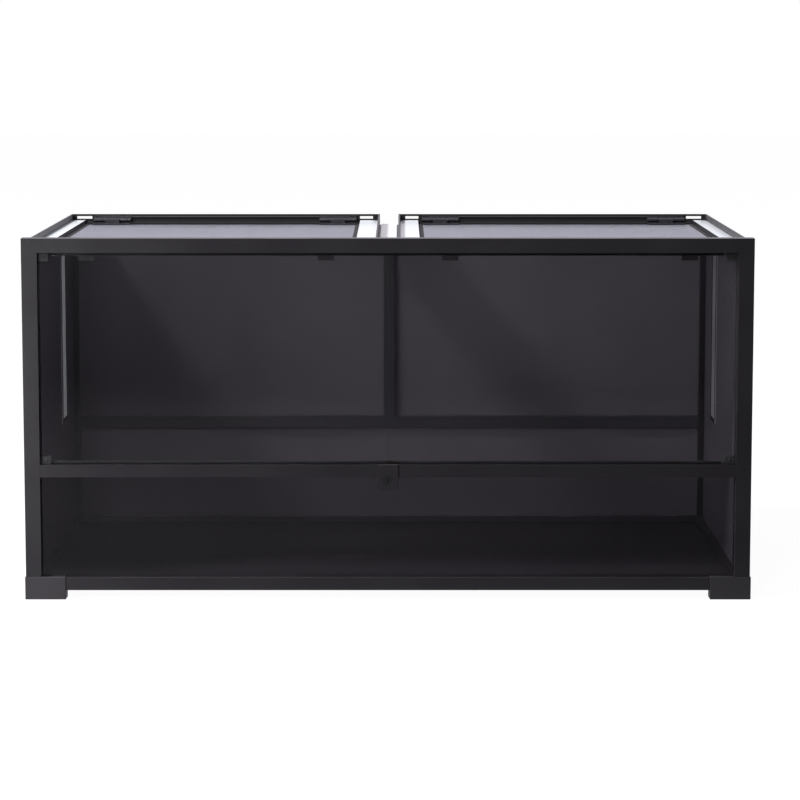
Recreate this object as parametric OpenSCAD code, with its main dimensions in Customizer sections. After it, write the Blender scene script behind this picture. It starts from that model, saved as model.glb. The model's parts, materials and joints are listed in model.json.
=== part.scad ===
// Reptile terrarium: black aluminium frame, two swing glass doors with a key lock,
// dark fixed walls with side vents, and two hinged mesh lids on top.
// Millimetres. +X is right, the doors face -Y, +Z is up, origin on the floor at the centre.

/* [Overall size] */
// Width over the corner posts
body_w = 1200; // [900:10:1500]
// Depth over the corner posts
body_d = 600; // [450:10:800]
// Height from the floor to the top of the front rail
body_h = 600; // [500:10:900]

/* [Frame] */
// Side of the square corner posts, and depth of every rail
post_w = 26; // [25:1:32]
// Wall of the aluminium profiles
wall = 2.5; // [2:0.1:3]
// Height of the rails other than the front top rail
rail_h = 21; // [20:1:28]
// Height of the front top rail
front_top_h = 24; // [20:1:30]
// Height of the underside of the middle rails
mid_z = 205; // [150:5:260]
// Width of the upright in the middle of the rear wall
rear_centre_w = 20; // [16:1:30]

/* [Feet] */
// Height of the foot blocks
foot_h = 38; // [36:1:48]
// Length of a foot along each rail
foot_len = 66; // [50:1:90]
// Space under the bottom rails
rail_lift = 15.5; // [10:0.5:18]
// How far the feet and the lock stand out from the frame
foot_lip = 1.5; // [0.5:0.5:3]

/* [Panels and glass] */
// Thickness of the wall panels and of the lower front glass
panel_t = 4; // [3:0.5:5]
// Thickness of the floor panel
floor_t = 6; // [4:0.5:8]
// Thickness of the door glass
door_t = 5; // [4:0.5:6]
// Distance from the face of the frame back to the door glass
door_setback = 6; // [6:0.5:8]
// Width of the vent in each side wall
vent_w = 60; // [40:2:100]
// Height of the vent in each side wall
vent_h = 312; // [200:4:320]
// Distance of the vent's middle behind the middle of the tank
vent_y = 127; // [60:1:160]

/* [Lock] */
// Width of the lock housing
lock_w = 35; // [32:1:44]
// Height of the lock housing
lock_h = 43; // [40:1:50]
// Radius of the lock cylinder
cyl_r = 8; // [7.5:0.25:9]
// Lift of the lock bolt
bolt_lift = 8; // [6:0.5:8]

/* [Top] */
// Height of the rim above the top glass
rim_h = 10; // [8:0.5:14]
// Thickness of the rim
rim_t = 3; // [2:0.5:4]
// Distance from the outside of the frame to the rim at the sides
rim_inset = 13; // [10:1:16]
// Gap between the two top units
centre_gap = 34; // [30:1:50]
// Thickness of the glass strips beside the lids
top_glass_t = 4; // [3:0.5:5]
// Outer margin from the outside of the rim to the lid opening
margin_out = 28; // [26:1:44]
// Inner margin from the lid opening to the centre gap
margin_in = 37; // [30:1:50]
// How far the lid lies below the top glass
lid_recess = 6.5; // [6:0.5:10]
// Thickness of the lid frame
lid_t = 6; // [5:0.5:7]
// Width of the lid frame bars
lid_bar = 10; // [8:1:16]
// Width of each lid hinge
hinge_w = 68; // [50:2:90]
// Width of each lid latch
latch_w = 27; // [20:1:36]

/* [Hidden] */
$fn = 48;

// Colours
FRAME_BLACK = [0.16, 0.16, 0.17];
PLASTIC_BLACK = [0.10, 0.10, 0.11];
PANEL_BLACK = [0.13, 0.12, 0.14];
GLASS_TINT = [0.55, 0.62, 0.64, 0.35];
STEEL_GREY = [0.55, 0.56, 0.58];

// Clearances
panel_gap = 0.3;      // beside a panel in its groove
edge_gap = 0.5;       // between a panel's edge and the bottom of its groove
fit_gap = 0.2;        // around a spigot in a chamber
run_gap = 0.06;       // radial, around a turning pin
cut = 1;              // how far a cutting body runs past a face

// Frame levels and half sizes
hw = body_w / 2;
hd = body_d / 2;
in_x = hw - post_w;
in_y = hd - post_w;
groove_d = 7;
shallow_groove_d = 5;
floor_groove_d = 6;
floor_lift = 3.5;
web = 2;
groove_w = panel_t + 2 * panel_gap;
chamber_w = post_w - groove_d - wall - web;
rail_z = rail_lift;
rail_top = rail_z + rail_h;
mid_top = mid_z + rail_h;
front_top_z = body_h - front_top_h;
glass_level = body_h - rim_h;
flange_t = 6;
side_top = glass_level - top_glass_t - flange_t;
side_top_z = side_top - rail_h;
spigot_l = 20;

// Panels
seat = groove_d - edge_gap;
panel_mid_x = hw - post_w / 2;
panel_mid_y = hd - post_w / 2;
panel_z0 = rail_top - seat;
floor_z = rail_z + floor_lift;
floor_seat = floor_groove_d - edge_gap;
vent_margin = 7;
vent_z1 = side_top_z - vent_margin;
vent_z0 = vent_z1 - vent_h;
grille_t = 1.5;
grille_lap = 3;
slot_h = 8;
slot_pitch = 12;
slot_cols = 3;
slot_bar = 4;

// Doors
door_side_gap = 2.5;
door_meet_gap = 2;
door_end_gap = 3;
pivot_in = 9;
pivot_r = 3;
pivot_l = 7;
clip_out = 7;
clip_in = 9;
clip_wall = 1.5;
clip_half = door_t / 2 + clip_wall;
clip_h = 13;
clip_gap = 0.8;
door_axis_x = in_x - pivot_in;
door_axis_y = -hd + door_setback + door_t / 2;
door_z0 = mid_top + door_end_gap;
door_z1 = front_top_z - door_end_gap;
lip_t = 3;
lip_h = 5;
lip_gap = 1;
lip_a = door_setback + door_t + lip_gap;
lip_end_gap = 5;
lip_half = door_axis_x - clip_in - lip_end_gap;

// Lock
lock_y0 = -hd - foot_lip;
lock_y1 = -panel_mid_y - panel_t / 2 - panel_gap;
lock_z0 = mid_top - lock_h;
lock_axis_drop = 5;
lock_axis_z = mid_z - lock_axis_drop;
bolt_t = 3;
lock_face_t = 3.5;
bolt_y0 = lock_y0 + lock_face_t;
bolt_margin = 2.5;
bolt_w = lock_w - 2 * bolt_margin;
bolt_side_gap = 0.25;
bolt_face_gap = 0.3;
bolt_tail = 12;
bolt_z0 = lock_axis_z - bolt_tail;
cam_x = bolt_lift / 2;
cam_z = lock_axis_z - cam_x;
cam_r = norm([cam_x, cam_x]);
cam_pin_r = 1.5;
cam_slot_gap = 0.3;
lock_round = 5;
cyl_sunk = 0.1;
keyway_half = 0.8;
keyway_reach = 3.5;
keyway_deep = 2.5;

// Top units
rim_x = hw - rim_inset;
rim_in_x = centre_gap / 2;
open_x1 = rim_x - margin_out;
open_x0 = rim_in_x + margin_in;
front_bar = 21;
open_y0 = -(in_y - front_bar);
bar_setback = 1;
open_y1 = in_y + bar_setback;
rear_wall_t = 3.5;
rim_setback = 3;
rim_y = hd - rim_setback;
flange_z = side_top;
flange_top = side_top + flange_t;
ledge_d = 10;
ledge_t = 4;
drop_t = 3;
lid_top = glass_level - lid_recess;
lid_z = lid_top - lid_t;
lip_w = 6;
lid_lip_t = 3.5;
lid_lip_gap = 0.3;
drop_z = lid_z - lid_lip_gap - lid_lip_t;
slot_a = 28;
slot_b = 24;
slot_in = 10;
cable_lift = 1.5;
cable_cover = 3.7;
cable_z0 = glass_level + cable_lift;
cable_z1 = body_h - cable_cover;
strip_gap = 0.5;
strip_round = 18;
beam_seat = 13;
beam_base_half = centre_gap / 2 + beam_seat;
beam_base_t = 6;
beam_strip_gap = 2.5;
beam_strip_t = 2;
beam_strip_half = centre_gap / 2 - beam_strip_gap;

// Lids, hinges and latches
lid_gap = 1;
lid_x0 = open_x0 + lid_gap;
lid_x1 = open_x1 - lid_gap;
lid_y0 = open_y0 + lid_gap;
lid_rear_gap = 1.5;
lid_y1 = open_y1 - lid_rear_gap;
front_lid_bar = 14;
mesh_t = 1;
mesh_sunk = 0.5;
mesh_z = lid_top - mesh_sunk - mesh_t;
mesh_seat = 3;
mesh_gap = 0.15;
hinge_end_out = 14;
hinge_end_in = 5;
hinge_r = 4;
hinge_pin_r = 2;
hinge_setback = 3;
hinge_lift = 0.3;
hinge_y = open_y1 + hinge_setback;
hinge_z = flange_top + hinge_r + hinge_lift;
leaf_t = 1.5;
leaf_d = 16;
knuckle_w = 26;
knuckle_gap = 0.5;
hinge_x1 = lid_x1 - hinge_end_out - hinge_w / 2;
hinge_x0 = lid_x0 + hinge_end_in + hinge_w / 2;
latch_end_out = 58;
latch_end_in = 48;
latch_x1 = lid_x1 - latch_end_out;
latch_x0 = lid_x0 + latch_end_in;
latch_t = 4;
latch_in = 5;
latch_y = lid_y0 + latch_in;
latch_z = lid_z + lid_t / 2;
latch_pin_r = 1.5;
latch_pin_l = 3;
latch_up = 9;
latch_down = 22;
latch_release = 20;
latch_side_gap = 0.4;
latch_notch = 9;
hook_reach = 6;
hook_t = 4;

// A box given by its two opposite corners, grown by g on every side
module box(p, q, g = 0)
    translate([p[0] - g, p[1] - g, p[2] - g])
        cube([q[0] - p[0] + 2 * g, q[1] - p[1] + 2 * g, q[2] - p[2] + 2 * g]);

// Pieces are drawn at the front left corner and mirrored to the others
module right_side() mirror([1, 0, 0]) children();
module rear_side() mirror([0, 1, 0]) children();

// Section of a rail: x runs inward from its outer face, y runs up
module rail_section(h, over = 0, under = 0, floor = false) {
    hollow_w = post_w - 2 * wall - (floor ? floor_groove_d : 0);
    hollow_z = under + wall;
    hollow_h = h - hollow_z - wall - over;
    difference() {
        square([post_w, h]);
        translate([wall, hollow_z]) square([hollow_w, hollow_h]);
        if (over > 0)
            translate([(post_w - groove_w) / 2, h - over]) square([groove_w, over + cut]);
        if (under > 0)
            translate([(post_w - groove_w) / 2, -cut]) square([groove_w, under + cut]);
        if (floor)
            translate([post_w - floor_groove_d, floor_z - rail_z - panel_gap])
                square([floor_groove_d + cut, floor_t + 2 * panel_gap]);
    }
}

// A section run along X at the front, centred, with its outer face at y = -half
module run_front(half, len, z) translate([-len / 2, -half, z]) rotate([90, 0, 90])
    linear_extrude(len) children();
module run_left(half, len, z) rotate([0, 0, -90]) run_front(half, len, z) children();

// Panels and glass as plain slabs, also used to cut their seats
module front_glass_slab(g = 0)
    box([-in_x - seat, -panel_mid_y - panel_t / 2, panel_z0],
        [in_x + seat, -panel_mid_y + panel_t / 2, mid_z + seat], g);
module side_slab(g = 0)
    box([-panel_mid_x - panel_t / 2, -in_y - seat, panel_z0],
        [-panel_mid_x + panel_t / 2, in_y + seat, side_top_z + seat], g);
module rear_lower_slab(g = 0)
    box([-in_x - seat, panel_mid_y - panel_t / 2, panel_z0],
        [in_x + seat, panel_mid_y + panel_t / 2, mid_z + shallow_groove_d - edge_gap], g);
module rear_upper_slab(g = 0)
    box([-in_x - seat, panel_mid_y - panel_t / 2, mid_top - shallow_groove_d + edge_gap],
        [-rear_centre_w / 2 + shallow_groove_d - edge_gap, panel_mid_y + panel_t / 2,
            side_top_z + seat], g);
module floor_slab(g = 0)
    box([-in_x - floor_seat, -in_y - floor_seat, floor_z],
        [in_x + floor_seat, in_y + floor_seat, floor_z + floor_t], g);

// Corner posts
module post_shape() {
    translate([-hw, -hd, foot_h]) linear_extrude(side_top_z - foot_h) difference() {
        square(post_w);
        translate([wall, wall]) square(chamber_w);
        translate([(post_w - groove_w) / 2, post_w - groove_d]) square([groove_w, groove_d + cut]);
    }
}
module front_post() color(FRAME_BLACK) difference() {
    post_shape();
    front_glass_slab(panel_gap);
}
module rear_post() color(FRAME_BLACK) rear_side() difference() {
    post_shape();
    rear_side() rear_lower_slab(panel_gap);
    rear_side() rear_upper_slab(panel_gap);
}
module post_front_left() front_post();
module post_front_right() right_side() front_post();
module post_rear_left() rear_post();
module post_rear_right() right_side() rear_post();

// Front rails
module rail_front_top() color(FRAME_BLACK) difference() {
    union() {
        run_front(hd, 2 * in_x, front_top_z) rail_section(front_top_h);
        run_front(hd - post_w, 2 * in_x, front_top_z) square([ledge_d, ledge_t]);
        run_front(hd - lip_a, 2 * lip_half, front_top_z - lip_h) square([lip_t, lip_h]);
    }
    for (s = [-1, 1]) translate([s * door_axis_x, door_axis_y, front_top_z - cut])
        cylinder(r = pivot_r + run_gap, h = wall + 2 * cut);
}
module rail_front_middle() color(FRAME_BLACK) difference() {
    union() {
        run_front(hd, 2 * in_x, mid_z) rail_section(rail_h, under = groove_d);
        run_front(hd - lip_a, 2 * lip_half, mid_top) square([lip_t, lip_h]);
    }
    for (s = [-1, 1]) translate([s * door_axis_x, door_axis_y, mid_top - wall - cut])
        cylinder(r = pivot_r + run_gap, h = wall + 2 * cut);
    box([-lock_w / 2, lock_y0, lock_z0], [lock_w / 2, lock_y1, mid_top + cut], fit_gap);
}
module bottom_rail_front() run_front(hd, body_w - 2 * foot_len, rail_z)
    rail_section(rail_h, over = groove_d, floor = true);
module rail_front_bottom() color(FRAME_BLACK) bottom_rail_front();

// Rear rails
module rail_rear_top() color(FRAME_BLACK) rear_side()
    run_front(hd, 2 * in_x, side_top_z) rail_section(rail_h, under = groove_d);
module rail_rear_middle() color(FRAME_BLACK) rear_side()
    run_front(hd, 2 * in_x, mid_z)
        rail_section(rail_h, over = shallow_groove_d, under = shallow_groove_d);
module rail_rear_bottom() color(FRAME_BLACK) rear_side() bottom_rail_front();

// Side rails
module side_top_rail() color(FRAME_BLACK)
    run_left(hw, 2 * in_y, side_top_z) rail_section(rail_h, under = groove_d);
module side_bottom_rail() color(FRAME_BLACK)
    run_left(hw, body_d - 2 * foot_len, rail_z)
        rail_section(rail_h, over = groove_d, floor = true);
module rail_left_top() side_top_rail();
module rail_left_bottom() side_bottom_rail();
module rail_right_top() right_side() side_top_rail();
module rail_right_bottom() right_side() side_bottom_rail();

// Beam between the two top units: a flat base that carries them and a raised strip in their gap
module top_centre_beam() color(FRAME_BLACK) {
    box([-beam_base_half, -in_y + ledge_d, side_top - beam_base_t],
        [beam_base_half, in_y, side_top]);
    box([-beam_strip_half, -in_y, side_top], [beam_strip_half, rim_y, side_top + beam_strip_t]);
}

// Upright in the middle of the rear wall, between the middle and the top rail
module rear_centre_post() color(FRAME_BLACK) difference() {
    box([-rear_centre_w / 2, in_y, mid_top], [rear_centre_w / 2, hd, side_top_z]);
    rear_upper_slab(panel_gap);
    right_side() rear_upper_slab(panel_gap);
}

// Three-way blocks at the top corners, with spigots in the post and in two rails
module corner_block(z_top, front) difference() {
    union() {
        box([-hw, -hd, side_top_z], [-in_x, -in_y, z_top]);
        box([-hw + wall, -hd + wall, side_top_z - spigot_l],
            [-hw + wall + chamber_w, -hd + wall + chamber_w, side_top_z + cut], -fit_gap);
        box([-hw + wall, -in_y - cut, side_top_z + groove_d + wall],
            [-in_x - wall, -in_y + spigot_l, side_top - wall], -fit_gap);
        box([-in_x - cut, -hd + wall, front ? front_top_z + wall : side_top_z + groove_d + wall],
            [-in_x + spigot_l, -in_y - wall, z_top - wall], -fit_gap);
    }
    side_slab(panel_gap);
    if (front) translate([-door_axis_x, door_axis_y, front_top_z - cut])
        cylinder(r = pivot_r + run_gap, h = pivot_l + cut);
    else rear_side() rear_upper_slab(panel_gap);
}
module front_corner() color(PLASTIC_BLACK) corner_block(body_h, true);
module rear_corner() color(PLASTIC_BLACK) rear_side() corner_block(side_top, false);
module top_corner_front_left() front_corner();
module top_corner_front_right() right_side() front_corner();
module top_corner_rear_left() rear_corner();
module top_corner_rear_right() right_side() rear_corner();

// L-shaped feet, with spigots in the post and in two bottom rails
module foot_shape() {
    spigot_top = rail_top - groove_d - wall;
    spigot_in = post_w - floor_groove_d - wall;
    box([-hw - foot_lip, -hd - foot_lip, 0], [-hw + foot_len, -in_y, foot_h]);
    box([-hw - foot_lip, -hd - foot_lip, 0], [-in_x, -hd + foot_len, foot_h]);
    box([-hw + wall, -hd + wall, foot_h - cut],
        [-hw + wall + chamber_w, -hd + wall + chamber_w, foot_h + spigot_l], -fit_gap);
    box([-hw + foot_len - cut, -hd + wall, rail_z + wall],
        [-hw + foot_len + spigot_l, -hd + spigot_in, spigot_top], -fit_gap);
    box([-hw + wall, -hd + foot_len - cut, rail_z + wall],
        [-hw + spigot_in, -hd + foot_len + spigot_l, spigot_top], -fit_gap);
}
module front_foot() color(PLASTIC_BLACK) difference() {
    foot_shape();
    front_glass_slab(panel_gap);
    side_slab(panel_gap);
    floor_slab(panel_gap);
}
module rear_foot() color(PLASTIC_BLACK) rear_side() difference() {
    foot_shape();
    rear_side() rear_lower_slab(panel_gap);
    side_slab(panel_gap);
    floor_slab(panel_gap);
}
module foot_front_left() front_foot();
module foot_front_right() right_side() front_foot();
module foot_rear_left() rear_foot();
module foot_rear_right() right_side() rear_foot();

// Floor and walls
module floor_panel() color(PANEL_BLACK) floor_slab();
module side_panel() color(PANEL_BLACK) difference() {
    side_slab();
    box([-hw, vent_y - vent_w / 2, vent_z0], [-in_x, vent_y + vent_w / 2, vent_z1]);
}
module side_panel_left() side_panel();
module side_panel_right() right_side() side_panel();
module rear_panel_lower() color(PANEL_BLACK) rear_lower_slab();
module rear_panel_upper_left() color(PANEL_BLACK) rear_upper_slab();
module rear_panel_upper_right() right_side() color(PANEL_BLACK) rear_upper_slab();
module front_glass_lower() color(GLASS_TINT) front_glass_slab();

// Grille on the inner face of each side wall: rows of slots over the vent
module vent_grille() {
    grille_x = -panel_mid_x + panel_t / 2;
    slot_w = (vent_w - (slot_cols - 1) * slot_bar) / slot_cols;
    rows = floor(vent_h / slot_pitch);
    first_z = (vent_z0 + vent_z1) / 2 - (rows - 1) * slot_pitch / 2;
    color(STEEL_GREY) difference() {
        box([grille_x, vent_y - vent_w / 2 - grille_lap, vent_z0 - grille_lap],
            [grille_x + grille_t, vent_y + vent_w / 2 + grille_lap, vent_z1 + grille_lap]);
        for (row = [0 : rows - 1], col = [0 : slot_cols - 1])
            translate([grille_x - cut, vent_y - vent_w / 2 + col * (slot_w + slot_bar),
                first_z + row * slot_pitch - slot_h / 2])
                cube([grille_t + 2 * cut, slot_w, slot_h]);
    }
}
module vent_grille_left() vent_grille();
module vent_grille_right() right_side() vent_grille();

// Swing doors: frameless panes held by a clip with a pivot pin at the outer corners
module door_slab(g = 0)
    box([-in_x + door_side_gap, -hd + door_setback, door_z0],
        [-door_meet_gap / 2, -hd + door_setback + door_t, door_z1], g);
module clip(z, up) translate([-door_axis_x, door_axis_y, z]) mirror([0, 0, up ? 1 : 0]) {
    box([-clip_out, -clip_half, 0], [clip_in, clip_half, clip_h]);
    translate([0, 0, -pivot_l]) cylinder(r = pivot_r, h = pivot_l + cut);
}
module door_clips() color(PLASTIC_BLACK) difference() {
    union() {
        clip(mid_top + clip_gap, false);
        clip(front_top_z - clip_gap, true);
    }
    door_slab(fit_gap / 2);
}
module door_glass_left() color(GLASS_TINT) door_slab();
module door_glass_right() right_side() color(GLASS_TINT) door_slab();
module door_clips_left() door_clips();
module door_clips_right() right_side() door_clips();

// Key lock in the middle rail: the cylinder's cam pin lifts a bolt in front of both doors
module lock_housing() color(PLASTIC_BLACK) difference() {
    translate([0, lock_y1, 0]) rotate([90, 0, 0]) linear_extrude(lock_y1 - lock_y0) union() {
        translate([-lock_w / 2, lock_z0 + lock_round]) square([lock_w, lock_h - lock_round]);
        translate([-lock_w / 2 + lock_round, lock_z0]) square([lock_w - 2 * lock_round, lock_h]);
        for (s = [-1, 1]) translate([s * (lock_w / 2 - lock_round), lock_z0 + lock_round])
            circle(lock_round);
    }
    box([-bolt_w / 2 - bolt_side_gap, bolt_y0 - bolt_face_gap, bolt_z0 - edge_gap],
        [bolt_w / 2 + bolt_side_gap, bolt_y0 + bolt_t + bolt_face_gap, mid_top + cut]);
    translate([0, lock_y0 - cut, lock_axis_z]) rotate([-90, 0, 0])
        cylinder(r = cyl_r + run_gap, h = bolt_y0 - lock_y0 + cut);
}
module lock_cylinder() color(STEEL_GREY) difference() {
    union() {
        translate([0, lock_y0 + cyl_sunk, lock_axis_z]) rotate([-90, 0, 0])
            cylinder(r = cyl_r, h = lock_face_t - cyl_sunk - bolt_face_gap);
        translate([cam_x, bolt_y0 - bolt_face_gap - cut / 2, cam_z]) rotate([-90, 0, 0])
            cylinder(r = cam_pin_r, h = bolt_t + bolt_face_gap + cut / 2);
    }
    box([-keyway_half, lock_y0 - cut, lock_axis_z - keyway_reach],
        [keyway_half, lock_y0 + cyl_sunk + keyway_deep, lock_axis_z + keyway_reach]);
}
module lock_bolt() color(STEEL_GREY) difference() {
    box([-bolt_w / 2, bolt_y0, bolt_z0], [bolt_w / 2, bolt_y0 + bolt_t, mid_top]);
    box([cam_x - cam_pin_r, bolt_y0 - cut, cam_z - cam_pin_r],
        [cam_r + cam_pin_r, bolt_y0 + bolt_t + cut, cam_z + cam_pin_r], cam_slot_gap);
}

// Top unit, drawn on the left: flanges and rims on three sides, with lips for the lid
module top_frame() color(PLASTIC_BLACK) {
    y0 = -in_y + panel_gap;
    difference() {
        union() {
            box([-rim_x, y0, flange_z], [-rim_in_x, open_y1, flange_top]);
            box([-open_x1 - drop_t, open_y0 - drop_t, drop_z],
                [-open_x0 + drop_t, open_y1 - panel_gap - cut, flange_top]);
            box([-rim_x, y0, flange_z], [-rim_x + rim_t, open_y1, body_h]);
            box([-rim_in_x - rim_t, y0, flange_z], [-rim_in_x, open_y1, body_h]);
            box([-rim_x, y0, flange_z], [-rim_in_x, open_y0, glass_level]);
        }
        box([-open_x1 + lip_w, open_y0, drop_z - cut], [-open_x0 - lip_w, hd, body_h]);
        box([-open_x1, open_y0, drop_z + lid_lip_t], [-open_x0, hd, body_h]);
        glass_strip_outer(panel_gap);
        glass_strip_inner(panel_gap);
    }
}
module top_frame_left() top_frame();
module top_frame_right() right_side() top_frame();

// Rear bar of a top unit: level with the glass behind the strips, lower behind the lid for the
// hinges, with two slots for cables through its wall
module top_rear_bar() color(PLASTIC_BLACK) difference() {
    box([-rim_x, open_y1, flange_z], [-rim_in_x, rim_y, body_h]);
    box([-rim_x + rim_t, open_y1 - cut, glass_level],
        [-rim_in_x - rim_t, rim_y - rear_wall_t, body_h + cut]);
    box([-open_x1, open_y1 - cut, flange_top],
        [-open_x0, rim_y - rear_wall_t, glass_level + cut]);
    box([-rim_x + slot_in, rim_y - rear_wall_t - cut, cable_z0],
        [-rim_x + slot_in + slot_a, rim_y + cut, cable_z1]);
    box([-rim_in_x - slot_in - slot_b - rim_t, rim_y - rear_wall_t - cut, cable_z0],
        [-rim_in_x - slot_in - rim_t, rim_y + cut, cable_z1]);
}
module top_rear_bar_left() top_rear_bar();
module top_rear_bar_right() right_side() top_rear_bar();

// Glass strips beside the lid, drawn from the rim inward, with a round rear corner at the rim
module glass_strip(strip_w, g) {
    y0 = -in_y + panel_gap + rim_t;
    y1 = open_y1 - strip_gap;
    translate([0, 0, flange_top]) linear_extrude(top_glass_t + g) {
        translate([-g, y0 - g]) square([strip_w + 2 * g, y1 - strip_round - y0 + g]);
        translate([strip_round, y0]) square([strip_w - strip_round + g, y1 - y0 + g]);
        intersection() {
            translate([strip_round, y1 - strip_round]) circle(strip_round + g, $fn = 96);
            translate([-g, y0]) square([strip_round + g, body_d]);
        }
    }
}
module glass_strip_outer(g = 0) translate([-rim_x + rim_t + strip_gap, 0, 0])
    glass_strip(margin_out - rim_t - 2 * strip_gap, g);
module glass_strip_inner(g = 0) mirror([1, 0, 0]) translate([rim_in_x + rim_t + strip_gap, 0, 0])
    glass_strip(margin_in - rim_t - 2 * strip_gap, g);
module top_glass_left_outer() color(GLASS_TINT) glass_strip_outer();
module top_glass_left_inner() color(GLASS_TINT) glass_strip_inner();
module top_glass_right_outer() right_side() color(GLASS_TINT) glass_strip_outer();
module top_glass_right_inner() right_side() color(GLASS_TINT) glass_strip_inner();

// Lid: a flat frame with a sheet of mesh in a seat open to the top, notched for two latches
module mesh_slab(g = 0, h = mesh_t)
    box([-lid_x1 + lid_bar - mesh_seat, lid_y0 + front_lid_bar - mesh_seat, mesh_z],
        [-lid_x0 - lid_bar + mesh_seat, lid_y1 - lid_bar + mesh_seat, mesh_z + h], g);
module lid_frame() color(FRAME_BLACK) difference() {
    box([-lid_x1, lid_y0, lid_z], [-lid_x0, lid_y1, lid_top]);
    box([-lid_x1 + lid_bar, lid_y0 + front_lid_bar, lid_z - cut],
        [-lid_x0 - lid_bar, lid_y1 - lid_bar, lid_top + cut]);
    mesh_slab(mesh_gap, mesh_t + mesh_sunk);
    for (x = [-latch_x1, -latch_x0]) {
        box([x - latch_w / 2 - latch_side_gap, lid_y0 - cut, lid_z - cut],
            [x + latch_w / 2 + latch_side_gap, lid_y0 + latch_notch, lid_top + cut]);
        translate([x - latch_w / 2 - latch_pin_l - cut, latch_y, latch_z]) rotate([0, 90, 0])
            cylinder(r = latch_pin_r + run_gap, h = latch_w + 2 * latch_pin_l + 2 * cut);
    }
}
module lid_frame_left() lid_frame();
module lid_frame_right() right_side() lid_frame();
module lid_mesh_left() color(STEEL_GREY) mesh_slab();
module lid_mesh_right() right_side() color(STEEL_GREY) mesh_slab();

// Lid hinges: two base knuckles on the rear bar, one leaf knuckle on the lid, one pin
module knuckle(x, w) translate([x - w / 2, hinge_y, hinge_z]) rotate([0, 90, 0])
    cylinder(r = hinge_r, h = w);
module pin_bore(x) translate([x - hinge_w / 2 - cut, hinge_y, hinge_z]) rotate([0, 90, 0])
    cylinder(r = hinge_pin_r + run_gap, h = hinge_w + 2 * cut);
module hinge_base(x) {
    side_w = (hinge_w - knuckle_w) / 2 - knuckle_gap;
    difference() {
        union() {
            for (s = [-1, 1]) {
                centre = x + s * (hinge_w - side_w) / 2;
                knuckle(centre, side_w);
                box([centre - side_w / 2, hinge_y, flange_top],
                    [centre + side_w / 2, rim_y - rear_wall_t, hinge_z + leaf_t]);
            }
            box([x - hinge_w / 2, rim_y - rear_wall_t - leaf_t, flange_top],
                [x + hinge_w / 2, rim_y - rear_wall_t, body_h - leaf_t]);
        }
        pin_bore(x);
    }
}
module hinge_leaf(x) difference() {
    union() {
        box([x - hinge_w / 2, lid_y1 - leaf_d, lid_top], [x + hinge_w / 2, lid_y1, lid_top + leaf_t]);
        knuckle(x, knuckle_w);
        box([x - knuckle_w / 2, lid_y1 - hinge_r, lid_top], [x + knuckle_w / 2, lid_y1, hinge_z]);
        box([x - knuckle_w / 2, lid_y1 - hinge_r, hinge_z - leaf_t],
            [x + knuckle_w / 2, hinge_y, hinge_z + leaf_t]);
    }
    pin_bore(x);
}
module hinge_pin(x) translate([x - hinge_w / 2, hinge_y, hinge_z]) rotate([0, 90, 0])
    cylinder(r = hinge_pin_r, h = hinge_w);
module hinge_bases() color(PLASTIC_BLACK)
    for (x = [-hinge_x1, -hinge_x0, hinge_x0, hinge_x1]) hinge_base(x);
module hinge_pins() color(STEEL_GREY)
    for (x = [-hinge_x1, -hinge_x0, hinge_x0, hinge_x1]) hinge_pin(x);
module hinge_leaves_left() color(PLASTIC_BLACK) for (x = [-hinge_x1, -hinge_x0]) hinge_leaf(x);
module hinge_leaves_right() color(PLASTIC_BLACK) for (x = [hinge_x0, hinge_x1]) hinge_leaf(x);

// Latch, drawn released: tipped about its pin so that the hook is clear of the front bar
module latch(x) color(PLASTIC_BLACK) translate([x, latch_y, latch_z]) rotate([latch_release, 0, 0]) {
    box([-latch_w / 2, -latch_t / 2, -latch_down], [latch_w / 2, latch_t / 2, latch_up]);
    box([-latch_w / 2, -latch_t / 2 - hook_reach, drop_z - latch_z - hook_t - edge_gap],
        [latch_w / 2, 0, drop_z - latch_z - edge_gap]);
    translate([-latch_w / 2 - latch_pin_l, 0, 0]) rotate([0, 90, 0])
        cylinder(r = latch_pin_r, h = latch_w + 2 * latch_pin_l);
}
module latch_left_outer() latch(-latch_x1);
module latch_left_inner() latch(-latch_x0);
module latch_right_inner() latch(latch_x0);
module latch_right_outer() latch(latch_x1);

post_front_left();
post_front_right();
post_rear_left();
post_rear_right();
rail_front_top();
rail_front_middle();
rail_front_bottom();
rail_rear_top();
rail_rear_middle();
rail_rear_bottom();
rail_left_top();
rail_left_bottom();
rail_right_top();
rail_right_bottom();
top_centre_beam();
rear_centre_post();
top_corner_front_left();
top_corner_front_right();
top_corner_rear_left();
top_corner_rear_right();
foot_front_left();
foot_front_right();
foot_rear_left();
foot_rear_right();
floor_panel();
side_panel_left();
side_panel_right();
vent_grille_left();
vent_grille_right();
rear_panel_lower();
rear_panel_upper_left();
rear_panel_upper_right();
front_glass_lower();
door_glass_left();
door_glass_right();
door_clips_left();
door_clips_right();
lock_housing();
lock_cylinder();
lock_bolt();
top_frame_left();
top_frame_right();
top_rear_bar_left();
top_rear_bar_right();
top_glass_left_outer();
top_glass_left_inner();
top_glass_right_inner();
top_glass_right_outer();
lid_frame_left();
lid_frame_right();
lid_mesh_left();
lid_mesh_right();
hinge_bases();
hinge_pins();
hinge_leaves_left();
hinge_leaves_right();
latch_left_outer();
latch_left_inner();
latch_right_inner();
latch_right_outer();
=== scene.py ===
import json
import math
from functools import partial

import bmesh
import bpy
from mathutils import Euler, Matrix, Vector

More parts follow.
